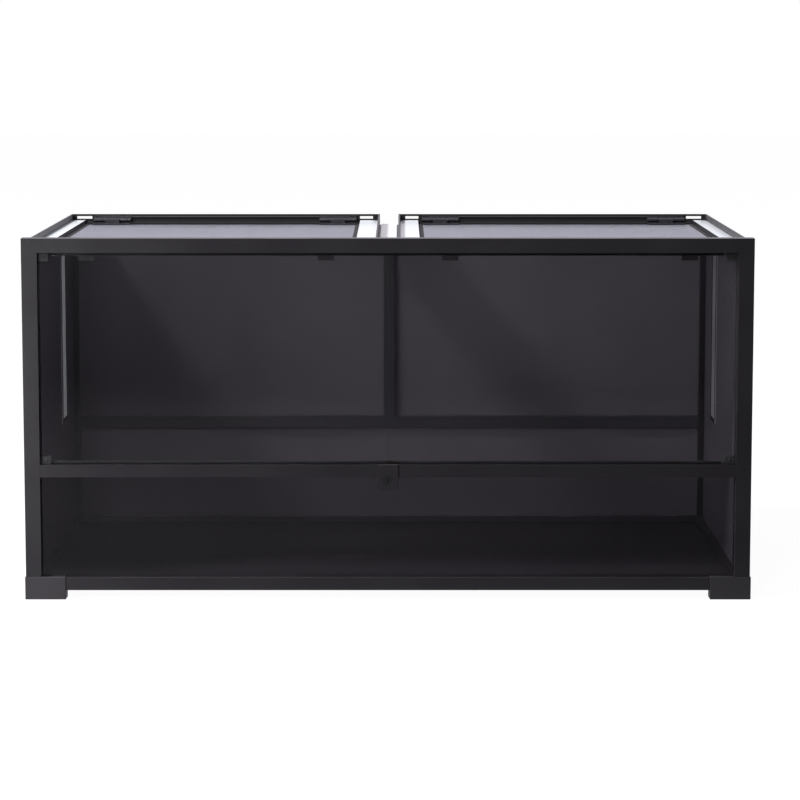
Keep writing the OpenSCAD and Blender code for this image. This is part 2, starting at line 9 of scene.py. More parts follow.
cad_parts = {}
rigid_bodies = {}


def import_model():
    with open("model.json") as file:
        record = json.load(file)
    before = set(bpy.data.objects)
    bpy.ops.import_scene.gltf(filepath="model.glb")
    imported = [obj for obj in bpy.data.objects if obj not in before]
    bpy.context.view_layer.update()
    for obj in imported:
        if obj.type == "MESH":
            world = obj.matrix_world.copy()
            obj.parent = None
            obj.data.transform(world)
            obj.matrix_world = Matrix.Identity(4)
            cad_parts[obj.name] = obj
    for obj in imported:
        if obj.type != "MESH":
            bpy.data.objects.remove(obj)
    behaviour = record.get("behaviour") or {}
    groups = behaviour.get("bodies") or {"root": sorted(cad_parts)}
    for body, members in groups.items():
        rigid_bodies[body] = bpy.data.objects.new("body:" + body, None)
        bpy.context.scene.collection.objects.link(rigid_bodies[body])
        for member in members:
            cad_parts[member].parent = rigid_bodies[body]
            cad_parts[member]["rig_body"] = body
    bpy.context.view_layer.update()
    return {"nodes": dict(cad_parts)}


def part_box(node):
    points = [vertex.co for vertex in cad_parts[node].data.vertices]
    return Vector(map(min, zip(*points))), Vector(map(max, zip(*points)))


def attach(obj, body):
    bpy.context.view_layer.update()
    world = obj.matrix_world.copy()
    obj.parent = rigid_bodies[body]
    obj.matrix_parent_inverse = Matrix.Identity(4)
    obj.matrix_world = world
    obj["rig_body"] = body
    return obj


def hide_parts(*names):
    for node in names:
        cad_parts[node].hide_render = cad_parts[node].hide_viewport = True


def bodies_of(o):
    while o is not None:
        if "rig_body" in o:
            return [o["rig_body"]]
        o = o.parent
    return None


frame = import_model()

bl_info = {
    "name": "Reptile Terrarium",
    "version": (1, 0, 0),
    "blender": (4, 5, 0),
    "location": "3D View > Sidebar > Terrarium",
    "description": "Dresses a packed reptile terrarium with its glass, metal and plastic finishes",
    "category": "Object",
}

MM = 0.001
SIDES = ("left", "right")
ENDS = ("front", "rear")
WELD = 0.001 * MM          # corners nearer than this are one corner
FLAT = math.radians(0.5)   # faces that meet within this angle are one flat face
SHARP = math.radians(30)   # edges that turn by more than this are softened


# ---------------------------------------------------------------- small helpers

def linear(hex_colour):
    """An sRGB hex colour as linear red, green, blue and alpha."""
    parts = [int(hex_colour[i:i + 2], 16) / 255 for i in (0, 2, 4)]
    return [c / 12.92 if c <= 0.04045 else ((c + 0.055) / 1.055) ** 2.4 for c in parts] + [1.0]


def add(tree, kind, inputs=None, **choices):
    """Adds a node with its settings. An input takes a value, a socket or a node, for its first output."""
    node = tree.nodes.new(kind)
    for name, value in choices.items():
        setattr(node, name, value)
    for name, value in (inputs or {}).items():
        if isinstance(value, bpy.types.Node):
            value = value.outputs[0]
        if isinstance(value, bpy.types.NodeSocket):
            tree.links.new(value, node.inputs[name])
        else:
            node.inputs[name].default_value = value
    return node


def new_material(name):
    """An empty node material and its tree."""
    material = bpy.data.materials.new(name)
    material.use_nodes = True
    material.node_tree.nodes.clear()
    return material, material.node_tree


def new_piece(name, mesh, material=None):
    """A new object at the origin that holds the mesh."""
    piece = bpy.data.objects.new(name, mesh)
    bpy.context.scene.collection.objects.link(piece)
    if material:
        mesh.materials.append(material)
    return piece


def settle(piece, slot, body, *nodes):
    """The piece rides on its body and stands in for its CAD nodes, which it hides. The slot argument is not
    used.
    """
    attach(piece, body)
    if nodes:
        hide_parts(*nodes)
    return piece


def body_of(node):
    """The name of the body that a CAD node rides on."""
    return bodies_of(frame["nodes"][node])[0]


def welded(node):
    """A copy of a CAD node as a bmesh, with its loose triangles joined into flat faces."""
    solid = bmesh.new()
    solid.from_mesh(frame["nodes"][node].data)
    bmesh.ops.remove_doubles(solid, verts=solid.verts, dist=WELD)
    bmesh.ops.dissolve_limit(solid, angle_limit=FLAT, verts=solid.verts, edges=solid.edges)
    return solid


def plain_mesh(name, solid):
    """A smooth-shaded mesh with the corners and faces of a bmesh, which is freed."""
    solid.verts.index_update()
    mesh = bpy.data.meshes.new(name)
    mesh.from_pydata([v.co for v in solid.verts], [], [[v.index for v in f.verts] for f in solid.faces])
    solid.free()
    mesh.shade_smooth()
    return mesh


def soften_edges(piece, width):
    """Rounds a piece's sharp edges, so that they catch the light as real ones do."""
    bevel = piece.modifiers.new("Soft edges", "BEVEL")
    bevel.width = width
    bevel.segments = 2
    bevel.limit_method = "ANGLE"
    bevel.angle_limit = SHARP
    bevel.harden_normals = True


def dress(node, word, finish, slot, edge):
    """The CAD node's own shape with soft edges and a real finish."""
    name = f"{node}_{word}"
    piece = new_piece(name, plain_mesh(name, welded(node)), finish_of(finish))
    soften_edges(piece, edge)
    return settle(piece, slot, body_of(node), node)


def flat_mesh(piece):
    """The evaluated piece as a plain mesh on the same object, with its modifiers gone."""
    graph = bpy.context.evaluated_depsgraph_get()
    mesh = bpy.data.meshes.new_from_object(piece.evaluated_get(graph))
    piece.modifiers.clear()
    piece.data = mesh
    return piece


# ---------------------------------------------------------------- settings

class TerrariumFrameSettings(bpy.types.PropertyGroup):
    """Sizes and colours of the profiles, fittings and walls."""
    profile_edge: bpy.props.FloatProperty(
        name="Profile edge", description="Radius on the edges of the aluminium profiles",
        default=0.45 * MM, min=0.1 * MM, max=2 * MM, unit="LENGTH")
    fitting_edge: bpy.props.FloatProperty(
        name="Fitting edge", description="Radius on the edges of the moulded feet",
        default=0.9 * MM, min=0.1 * MM, max=3 * MM, unit="LENGTH")
    fine_edge: bpy.props.FloatProperty(
        name="Fine edge", description="Radius on the edges of walls, lids, clips, hinges and the lock",
        default=0.35 * MM, min=0.1 * MM, max=1 * MM, unit="LENGTH")
    die_line: bpy.props.FloatProperty(
        name="Die line", description="Spacing of the lines that the die leaves along a profile",
        default=1.1 * MM, min=0.2 * MM, max=5 * MM, unit="LENGTH")
    spark_grain: bpy.props.FloatProperty(
        name="Spark grain", description="Grain size of the texture on moulded plastic",
        default=0.9 * MM, min=0.2 * MM, max=3 * MM, unit="LENGTH")
    profile_colour: bpy.props.FloatVectorProperty(
        name="Profile colour", description="Black anodised profile of the frame",
        default=linear("19171B"), size=4, min=0, max=1, subtype="COLOR")
    # Painted light: the rear rails and upright are the same anodised profile as the front, made paler to
    # stand in for the light on them.
    rear_profile_colour: bpy.props.FloatVectorProperty(
        name="Rear profile colour", description="Rear rails and upright, a shade paler",
        default=linear("2C2A30"), size=4, min=0, max=1, subtype="COLOR")
    fitting_colour: bpy.props.FloatVectorProperty(
        name="Fitting colour", description="Black moulded feet and rear beads",
        default=linear("232125"), size=4, min=0, max=1, subtype="COLOR")
    floor_colour: bpy.props.FloatVectorProperty(
        name="Floor colour", description="Dark floor sheet",
        default=linear("18161A"), size=4, min=0, max=1, subtype="COLOR")
    # Painted shade: the side walls are the rear wall's sheet, made darker to stand in for the shade on them.
    side_shaded_colour: bpy.props.FloatVectorProperty(
        name="Side colour", description="Side wall sheet, a shade darker than the rear wall",
        default=linear("464249"), size=4, min=0, max=1, subtype="COLOR")
    rim_colour: bpy.props.FloatVectorProperty(
        name="Rim colour", description="Black moulded rims of the top units",
        default=linear("1F1D20"), size=4, min=0, max=1, subtype="COLOR")
    wall_colour: bpy.props.FloatVectorProperty(
        name="Wall colour", description="Rear wall sheet, a dark violet grey",
        default=linear("524E56"), size=4, min=0, max=1, subtype="COLOR")


class TerrariumGlassSettings(bpy.types.PropertyGroup):
    """Sizes and colours of the glass."""
    chamfer: bpy.props.FloatProperty(
        name="Chamfer", description="Width of the ground chamfer round each pane",
        default=0.3 * MM, min=0.1 * MM, max=1.5 * MM, unit="LENGTH")
    pane_tint: bpy.props.FloatVectorProperty(
        name="Pane tint", description="What clear float glass does to the light through it",
        default=linear("F6F5F6"), size=4, min=0, max=1, subtype="COLOR")
    low_pane_tint: bpy.props.FloatVectorProperty(
        name="Lower pane tint", description="The fixed lower pane is slightly grey",
        default=linear("C6C5C8"), size=4, min=0, max=1, subtype="COLOR")
    # Painted reflection: this white stands in for the backdrop that the glass strips mirror at low angles,
    # with a cool tint of light from above.
    strip_painted_reflection: bpy.props.FloatVectorProperty(
        name="Strip colour", description="White-backed glass beside the lids",
        default=linear("EEF5FA"), size=4, min=0, max=1, subtype="COLOR")
    edge_colour: bpy.props.FloatVectorProperty(
        name="Edge colour", description="Dark grey-green of a ground glass edge",
        default=linear("121816"), size=4, min=0, max=1, subtype="COLOR")


class TerrariumMeshSettings(bpy.types.PropertyGroup):
    """Sizes of the lid gauze, the vent strips and the screws."""
    gauze_pitch: bpy.props.FloatProperty(
        name="Gauze pitch", description="Spacing of the gauze wires",
        default=1.5 * MM, min=0.8 * MM, max=6 * MM, unit="LENGTH")
    gauze_wire: bpy.props.FloatProperty(
        name="Gauze wire", description="Width of a rolled gauze wire",
        default=0.6 * MM, min=0.2 * MM, max=2 * MM, unit="LENGTH")
    gauze_thick: bpy.props.FloatProperty(
        name="Gauze thickness", description="Thickness of a rolled gauze wire",
        default=0.24 * MM, min=0.1 * MM, max=0.5 * MM, unit="LENGTH")
    hole_pitch: bpy.props.FloatProperty(
        name="Vent hole pitch", description="Spacing of the holes in the vent strips",
        default=4.6 * MM, min=2 * MM, max=10 * MM, unit="LENGTH")
    hole_radius: bpy.props.FloatProperty(
        name="Vent hole radius", description="Radius of the holes in the vent strips",
        default=1.5 * MM, min=0.5 * MM, max=4 * MM, unit="LENGTH")
    screw_radius: bpy.props.FloatProperty(
        name="Screw head radius", description="Radius of the screw heads on hinges and door clips",
        default=2.4 * MM, min=1 * MM, max=4 * MM, unit="LENGTH")


class TerrariumStageSettings(bpy.types.PropertyGroup):
    """Power of the lamps, and brightness of the room."""
    key_power: bpy.props.FloatProperty(
        name="Key power", description="Power of the softbox high on the left",
        default=400, min=0, max=5000, subtype="POWER")
    strip_power: bpy.props.FloatProperty(
        name="Strip power", description="Power of the upright softbox at the front left",
        default=12, min=0, max=1000, subtype="POWER")
    front_power: bpy.props.FloatProperty(
        name="Front power", description="Power of the softbox above the camera, for the low rear wall",
        default=38, min=0, max=1000, subtype="POWER")
    ambient: bpy.props.FloatProperty(
        name="Ambient", description="Brightness of the room for diffuse light",
        default=0.2, min=0, max=2)
    left_shade: bpy.props.FloatProperty(
        name="Left shade", description="Brightness of the room at the front left, as gloss shows it",
        default=0.25, min=0, max=1)
    right_shade: bpy.props.FloatProperty(
        name="Right shade", description="Brightness of the room at the front right, as gloss shows it",
        default=0.015, min=0, max=1)


def settings(group):
    """One of the add-on's property groups on the scene."""
    return getattr(bpy.context.scene, f"terrarium_{group}")


# ---------------------------------------------------------------- finishes

NOISE_LOW, NOISE_HIGH = 0.3, 0.7   # nearly all of a noise's values lie between these


def grained(tree, sizes, detail=3.0, roughness=0.5):
    """Noise in the object's own coordinates, with the size of its grain along X, Y and Z."""
    place = add(tree, "ShaderNodeTexCoord").outputs["Object"]
    scaled = add(tree, "ShaderNodeMapping", {"Vector": place, "Scale": [1 / size for size in sizes]})
    return add(tree, "ShaderNodeTexNoise", {
        "Vector": scaled, "Scale": 1.0, "Detail": detail, "Roughness": roughness})


def spread(tree, noise, low, high):
    """A noise value spread between two numbers."""
    return add(tree, "ShaderNodeMapRange", {
        "Value": noise, "From Min": NOISE_LOW, "From Max": NOISE_HIGH, "To Min": low, "To Max": high})


def shaded(tree, colour, noise, low, high):
    """A colour made darker and lighter by a noise value."""
    level = spread(tree, noise, low, high)
    return add(tree, "ShaderNodeVectorMath", {0: colour[:3], 1: level}, operation="MULTIPLY")


# A grain under about 0.7 mm doesn't show in the render, so the finest patterns below are drawn that coarse.

def anodised_profile(name, axis):
    """Black anodised aluminium, extruded. The eye gets a satin black with faint lines along the profile."""
    sizes = settings("frame")
    material, tree = new_material(f"anodised_aluminium_{name}_{axis}")
    lines = grained(tree, [140 * MM if axis == a else sizes.die_line for a in "xyz"], detail=2.0)
    cloud = grained(tree, [90 * MM] * 3, detail=2.0)
    shader = add(tree, "ShaderNodeBsdfPrincipled", {
        "Base Color": shaded(tree, getattr(sizes, f"{name}_colour"), lines, 0.90, 1.10),
        "Roughness": spread(tree, cloud, 0.34, 0.42),
        "Normal": add(tree, "ShaderNodeBump", {"Height": lines, "Strength": 0.25, "Distance": 0.02 * MM})})
    add(tree, "ShaderNodeOutputMaterial", {"Surface": shader})
    return material


def moulded_plastic(name, colour):
    """ABS, moulded in a spark-eroded tool. The eye gets an even, fine-grained satin black."""
    sizes = settings("frame")
    material, tree = new_material(name)
    grain = grained(tree, [sizes.spark_grain] * 3, detail=4.0, roughness=0.6)
    cloud = grained(tree, [40 * MM] * 3, detail=2.0)
    shader = add(tree, "ShaderNodeBsdfPrincipled", {
        "Base Color": shaded(tree, colour, cloud, 0.92, 1.08),
        "Roughness": spread(tree, grain, 0.40, 0.50),
        "Normal": add(tree, "ShaderNodeBump", {"Height": grain, "Strength": 0.3, "Distance": 0.03 * MM})})
    add(tree, "ShaderNodeOutputMaterial", {"Surface": shader})
    return material


def matt_black(name, colour):
    """Nylon, dull ABS, blackened zinc or a matt powder coat. The eye gets a deep, dry black."""
    material, tree = new_material(name)
    grain = grained(tree, [0.7 * MM] * 3, detail=3.0, roughness=0.6)
    shader = add(tree, "ShaderNodeBsdfPrincipled", {
        "Base Color": shaded(tree, colour, grain, 0.90, 1.10),
        "Roughness": spread(tree, grain, 0.60, 0.70), "Specular IOR Level": 0.3})
    add(tree, "ShaderNodeOutputMaterial", {"Surface": shader})
    return material


def pvc_sheet(name, colour):
    """Rigid PVC sheet, calendered. The eye gets a dark violet grey, soft gloss and a faint mottle."""
    material, tree = new_material(name)
    cloud = grained(tree, [110 * MM] * 3, detail=3.0)
    ripple = grained(tree, [6 * MM] * 3, detail=2.0)
    shader = add(tree, "ShaderNodeBsdfPrincipled", {
        "Base Color": shaded(tree, colour, cloud, 0.95, 1.05),
        "Roughness": spread(tree, ripple, 0.38, 0.46),
        "Normal": add(tree, "ShaderNodeBump", {"Height": ripple, "Strength": 0.03, "Distance": 0.02 * MM})})
    add(tree, "ShaderNodeOutputMaterial", {"Surface": shader})
    return material


def float_glass(name, tint):
    """Float glass. The eye gets a clear pane that mirrors at low angles. Light for what is behind passes."""
    material, tree = new_material(name)
    glass = add(tree, "ShaderNodeBsdfPrincipled", {
        "Base Color": tint, "Roughness": 0.0, "IOR": 1.52, "Transmission Weight": 1.0})
    clear = add(tree, "ShaderNodeBsdfTransparent", {"Color": tint})
    path = add(tree, "ShaderNodeLightPath").outputs
    lets_by = add(tree, "ShaderNodeMath", {
        0: path["Is Shadow Ray"], 1: path["Is Diffuse Ray"]}, operation="MAXIMUM")
    pane = add(tree, "ShaderNodeMixShader", {"Fac": lets_by, 1: glass, 2: clear})
    add(tree, "ShaderNodeOutputMaterial", {"Surface": pane})
    return material


def ground_edge():
    """A finely ground glass edge. The eye gets a dull, dark line round the pane, with a hint of green."""
    material, tree = new_material("ground_glass_edge")
    streak = grained(tree, [3 * MM] * 3, detail=2.0)
    shader = add(tree, "ShaderNodeBsdfPrincipled", {
        "Base Color": shaded(tree, settings("glass").edge_colour, streak, 0.85, 1.15),
        "Roughness": spread(tree, streak, 0.42, 0.54), "IOR": 1.52, "Specular IOR Level": 0.2})
    add(tree, "ShaderNodeOutputMaterial", {"Surface": shader})
    return material


def steel_gauze():
    """Rolled stainless gauze. The eye gets a thin grey veil from above and a silvery sheen at low angles."""
    material, tree = new_material("stainless_steel_gauze")
    wear = grained(tree, [14 * MM] * 3, detail=3.0)
    shader = add(tree, "ShaderNodeBsdfPrincipled", {
        "Base Color": shaded(tree, linear("B4B8C2"), wear, 0.94, 1.04),
        "Metallic": 1.0, "Roughness": spread(tree, wear, 0.34, 0.42)})
    add(tree, "ShaderNodeOutputMaterial", {"Surface": shader})
    return material


def reflection_painted_glass():
    """Lightly etched glass. Its white is painted reflection of the backdrop at low angles, and its cool tint
    is painted light from above. The eye gets a cool white strip with a soft gloss.
    """
    material, tree = new_material("etched_white_glass")
    etch = grained(tree, [1.2 * MM] * 3, detail=3.0)
    shader = add(tree, "ShaderNodeBsdfPrincipled", {
        "Base Color": shaded(tree, settings("glass").strip_painted_reflection, etch, 0.985, 1.0),
        "Roughness": spread(tree, etch, 0.16, 0.22), "IOR": 1.52})
    add(tree, "ShaderNodeOutputMaterial", {"Surface": shader})
    return material


def painted_reflection_coat():
    """Painted reflection: a smooth, cool white with a soft gloss. It stands in for the white backdrop that
    the beam mirrors at low angles, tinted by cool light from above.
    """
    material, tree = new_material("white_powder_coat")
    peel = grained(tree, [1.8 * MM] * 3, detail=2.0)
    shader = add(tree, "ShaderNodeBsdfPrincipled", {
        # F6FAFE is painted reflection: the white backdrop mirrored at low angles, with a cool tint of light
        # from above.
        "Base Color": shaded(tree, linear("F6FAFE"), peel, 0.985, 1.0),
        "Roughness": spread(tree, peel, 0.16, 0.22)})
    add(tree, "ShaderNodeOutputMaterial", {"Surface": shader})
    return material


def coated_screw():
    """Black oxide steel. The eye gets a small, dull black head."""
    material, tree = new_material("black_oxide_steel")
    cloud = grained(tree, [1.1 * MM] * 3, detail=2.0)
    shader = add(tree, "ShaderNodeBsdfPrincipled", {
        "Base Color": shaded(tree, linear("1C1C1E"), cloud, 0.85, 1.15),
        "Roughness": spread(tree, cloud, 0.46, 0.58)})
    add(tree, "ShaderNodeOutputMaterial", {"Surface": shader})
    return material


def bare_aluminium():
    """Perforated aluminium strip, mill finish. The eye gets a pale grey metal with faint rolling lines."""
    material, tree = new_material("perforated_aluminium")
    rolled = grained(tree, [0.8 * MM, 0.8 * MM, 60 * MM], detail=2.0)
    shader = add(tree, "ShaderNodeBsdfPrincipled", {
        "Base Color": shaded(tree, linear("D6D7DA"), rolled, 0.93, 1.02),
        "Metallic": 1.0, "Roughness": spread(tree, rolled, 0.30, 0.40)})
    add(tree, "ShaderNodeOutputMaterial", {"Surface": shader})
    return material


def coated_steel():
    """Pressed steel with a black dip coat. The eye gets a smooth black with a soft highlight."""
    material, tree = new_material("dip_coated_steel")
    orange_peel = grained(tree, [1.6 * MM] * 3, detail=2.0)
    shader = add(tree, "ShaderNodeBsdfPrincipled", {
        "Base Color": shaded(tree, linear("2B2C30"), orange_peel, 0.92, 1.08),
        "Roughness": spread(tree, orange_peel, 0.24, 0.32),
        "Normal": add(tree, "ShaderNodeBump", {
            "Height": orange_peel, "Strength": 0.2, "Distance": 0.02 * MM})})
    add(tree, "ShaderNodeOutputMaterial", {"Surface": shader})
    return material


def plated_steel():
    """Nickel-plated steel, barrel polished. The eye gets a bright warm-grey metal with fine random scuffs."""
    material, tree = new_material("nickel_plated_steel")
    scuff = grained(tree, [0.7 * MM] * 3, detail=4.0, roughness=0.7)
    shader = add(tree, "ShaderNodeBsdfPrincipled", {
        "Base Color": shaded(tree, linear("B9B6B0"), scuff, 0.92, 1.06),
        "Metallic": 1.0, "Roughness": spread(tree, scuff, 0.20, 0.34)})
    add(tree, "ShaderNodeOutputMaterial", {"Surface": shader})
    return material


MAKERS = {
    **{f"profile_{axis}": partial(anodised_profile, "profile", axis) for axis in "xyz"},
    # The rear profiles are a paler copy of the profile finish, as painted light.
    **{f"rear_profile_{axis}": partial(anodised_profile, "rear_profile", axis) for axis in "xz"},
    "plastic": lambda: moulded_plastic("abs_moulded_black", settings("frame").fitting_colour),
    "rim_plastic": lambda: moulded_plastic("abs_moulded_jet_black", settings("frame").rim_colour),
    "nylon": lambda: matt_black("nylon_moulded_black", linear("19181B")),
    "lock_plastic": lambda: matt_black("abs_lock_housing_black", linear("131016")),
    "key_plug": lambda: matt_black("black_zinc_key_plug", linear("0C0A0E")),
    "powder_coat": lambda: matt_black("powder_coat_matt_black", linear("161618")),
    "wall": lambda: pvc_sheet("pvc_wall_sheet", settings("frame").wall_colour),
    # The side walls take a darker copy of the wall sheet, as painted shade.
    "side_wall": lambda: pvc_sheet("pvc_side_sheet", settings("frame").side_shaded_colour),
    "floor": lambda: pvc_sheet("pvc_floor_sheet", settings("frame").floor_colour),
    "pane": lambda: float_glass("float_glass_clear", settings("glass").pane_tint),
    "low_pane": lambda: float_glass("float_glass_grey", settings("glass").low_pane_tint),
    "glass_edge": ground_edge,
    "reflection_painted_glass": reflection_painted_glass,
    "beam_painted_reflection": painted_reflection_coat,
    "gauze": steel_gauze,
    "vent": bare_aluminium,
    "hinge": coated_steel,
    "steel": plated_steel,
    "screw": coated_screw,
}
made_finishes = {}


def finish_of(name):
    """The material of that name, made when it is first asked for."""
    if name not in made_finishes:
        made_finishes[name] = MAKERS[name]()
    return made_finishes[name]


# ---------------------------------------------------------------- geometry node trees

def new_geometry_tree(name, numbers):
    """A node group with a geometry output, a material input and one named input for each number."""
    tree = bpy.data.node_groups.new(name, "GeometryNodeTree")
    tree.interface.new_socket("Geometry", in_out="OUTPUT", socket_type="NodeSocketGeometry")
    for word, kind in numbers.items():
        tree.interface.new_socket(word, in_out="INPUT", socket_type=kind)
    tree.interface.new_socket("Material", in_out="INPUT", socket_type="NodeSocketMaterial")
    return tree, add(tree, "NodeGroupInput").outputs


def close_tree(tree, shape, material):
    """Ends a tree in Realize Instances and Set Material."""
    real = add(tree, "GeometryNodeRealizeInstances", {"Geometry": shape})
    made = add(tree, "GeometryNodeSetMaterial", {"Geometry": real, "Material": material})
    add(tree, "NodeGroupOutput", {"Geometry": made})


def grow(name, tree, values):
    """A piece made by a geometry tree from the given input values, as a plain mesh."""
    piece = new_piece(name, bpy.data.meshes.new(name))
    modifier = piece.modifiers.new("Grown", "NODES")
    modifier.node_group = tree
    for socket in tree.interface.items_tree:
        if socket.in_out == "INPUT":
            modifier[socket.identifier] = values[socket.name]
    return flat_mesh(piece)


def how_many(tree, run, pitch):
    """The number of whole pitches in a run."""
    pitches = add(tree, "ShaderNodeMath", {0: run, 1: pitch}, operation="DIVIDE")
    return add(tree, "ShaderNodeMath", {0: pitches}, operation="FLOOR")


def row_length(tree, count, pitch):
    """From the first to the last in a row of that count."""
    gaps = add(tree, "ShaderNodeMath", {0: count, 1: 1.0}, operation="SUBTRACT")
    return add(tree, "ShaderNodeMath", {0: gaps, 1: pitch}, operation="MULTIPLY")


def row_start(tree, count, pitch):
    """Where a row of that count begins, when its middle is at the origin."""
    length = row_length(tree, count, pitch)
    return add(tree, "ShaderNodeMath", {0: length, 1: -0.5}, operation="MULTIPLY")


def row_of_bars(tree, length, run, pitch, width, thick, lift, bar_axis, row_axis):
    """Bars along one axis, in a row along the other, a pitch apart and centred on the origin."""
    count = how_many(tree, run, pitch)
    first = row_start(tree, count, pitch)
    bar = add(tree, "GeometryNodeMeshCube", {
        "Size": add(tree, "ShaderNodeCombineXYZ", {bar_axis: length, row_axis: width, "Z": thick})})
    line = add(tree, "GeometryNodeMeshLine", {
        "Count": count,
        "Start Location": add(tree, "ShaderNodeCombineXYZ", {row_axis: first, "Z": lift}),
        "Offset": add(tree, "ShaderNodeCombineXYZ", {row_axis: pitch})}, mode="OFFSET")
    return add(tree, "GeometryNodeInstanceOnPoints", {"Points": line, "Instance": bar})


def gauze_tree():
    """Two crossing layers of rolled wires over a rectangle."""
    tree, given = new_geometry_tree("Lid gauze", {
        word: "NodeSocketFloat" for word in ("Width", "Depth", "Pitch", "Wire", "Thickness")})
    pressed = 0.2   # the upper wires stand this share of their thickness above the lower ones
    size = [given[word] for word in ("Pitch", "Wire", "Thickness")]
    low = row_of_bars(tree, given["Width"], given["Depth"], *size, 0.0, "X", "Y")
    lift = add(tree, "ShaderNodeMath", {0: given["Thickness"], 1: pressed}, operation="MULTIPLY")
    high = row_of_bars(tree, given["Depth"], given["Width"], *size, lift, "Y", "X")
    both = add(tree, "GeometryNodeJoinGeometry", {"Geometry": low})
    tree.links.new(high.outputs["Instances"], both.inputs["Geometry"])
    close_tree(tree, both, given["Material"])
    return tree


def perforated_tree():
    """A sheet with rows of round holes, standing on its short edge in the YZ plane."""
    tree, given = new_geometry_tree("Perforated strip", {
        word: "NodeSocketFloat" for word in ("Width", "Height", "Border", "Pitch", "Radius", "Thickness")})
    pitch, corners_of_hole = given["Pitch"], 10
    borders = add(tree, "ShaderNodeMath", {0: given["Border"], 1: 2.0}, operation="MULTIPLY")
    free = [add(tree, "ShaderNodeMath", {0: given[word], 1: borders}, operation="SUBTRACT")
            for word in ("Width", "Height")]
    columns, rows = (how_many(tree, run, pitch) for run in free)
    grid = add(tree, "GeometryNodeMeshGrid", {
        "Size X": row_length(tree, columns, pitch), "Size Y": row_length(tree, rows, pitch),
        "Vertices X": columns, "Vertices Y": rows})
    hole = add(tree, "GeometryNodeCurvePrimitiveCircle", {
        "Resolution": corners_of_hole, "Radius": given["Radius"]})
    holes = add(tree, "GeometryNodeInstanceOnPoints", {"Points": grid, "Instance": hole})
    real_holes = add(tree, "GeometryNodeRealizeInstances", {"Geometry": holes})
    outline = add(tree, "GeometryNodeCurvePrimitiveQuadrilateral", {
        "Width": given["Width"], "Height": given["Height"]})
    curves = add(tree, "GeometryNodeJoinGeometry", {"Geometry": outline})
    tree.links.new(real_holes.outputs["Geometry"], curves.inputs["Geometry"])
    sheet = add(tree, "GeometryNodeFillCurve", {"Curve": curves})
    raised = add(tree, "GeometryNodeExtrudeMesh", {
        "Mesh": sheet, "Offset Scale": given["Thickness"], "Individual": False})
    under = add(tree, "GeometryNodeFlipFaces", {"Mesh": sheet})
    closed = add(tree, "GeometryNodeJoinGeometry", {"Geometry": raised})
    tree.links.new(under.outputs["Mesh"], closed.inputs["Geometry"])
    joined = add(tree, "GeometryNodeMergeByDistance", {"Geometry": closed, "Distance": 10 * WELD})
    upright = add(tree, "GeometryNodeTransform", {
        "Geometry": joined, "Rotation": Euler((math.pi / 2, 0, math.pi / 2))})
    close_tree(tree, upright, given["Material"])
    return tree


def screw_row_tree():
    """A row of pan-head screws with a cross recess, along X, with their heads up."""
    tree, given = new_geometry_tree("Screw row", {
        "Count": "NodeSocketInt", "Spacing": "NodeSocketFloat", "Radius": "NodeSocketFloat"})
    corners = 20
    height, crown, slot_w, slot_l = (
        add(tree, "ShaderNodeMath", {0: given["Radius"], 1: share}, operation="MULTIPLY")
        for share in (0.45, 0.72, 0.26, 1.15))
    dome_height, dome_lift = (
        add(tree, "ShaderNodeMath", {0: height, 1: share}, operation="MULTIPLY") for share in (0.5, 0.74))
    disc = add(tree, "GeometryNodeMeshCylinder", {
        "Vertices": corners, "Radius": given["Radius"], "Depth": height})
    dome = add(tree, "GeometryNodeMeshCone", {
        "Vertices": corners, "Radius Top": crown, "Radius Bottom": given["Radius"], "Depth": dome_height})
    raised = add(tree, "GeometryNodeTransform", {
        "Geometry": dome, "Translation": add(tree, "ShaderNodeCombineXYZ", {"Z": dome_lift})})
    head = add(tree, "GeometryNodeMeshBoolean", {"Mesh 2": disc}, operation="UNION")
    tree.links.new(raised.outputs["Geometry"], head.inputs["Mesh 2"])
    cut_head = add(tree, "GeometryNodeMeshBoolean", {"Mesh 1": head}, operation="DIFFERENCE")
    head_top = add(tree, "ShaderNodeCombineXYZ", {"Z": height})
    for length, width in ((slot_l, slot_w), (slot_w, slot_l)):
        size = add(tree, "ShaderNodeCombineXYZ", {"X": length, "Y": width, "Z": height})
        slot = add(tree, "GeometryNodeTransform", {
            "Geometry": add(tree, "GeometryNodeMeshCube", {"Size": size}), "Translation": head_top})
        tree.links.new(slot.outputs["Geometry"], cut_head.inputs["Mesh 2"])
    start = row_start(tree, given["Count"], given["Spacing"])
    line = add(tree, "GeometryNodeMeshLine", {
        "Count": given["Count"],
        "Start Location": add(tree, "ShaderNodeCombineXYZ", {"X": start}),
        "Offset": add(tree, "ShaderNodeCombineXYZ", {"X": given["Spacing"]})}, mode="OFFSET")
    row = add(tree, "GeometryNodeInstanceOnPoints", {"Points": line, "Instance": cut_head})
    close_tree(tree, row, given["Material"])
    return tree


# ---------------------------------------------------------------- operators

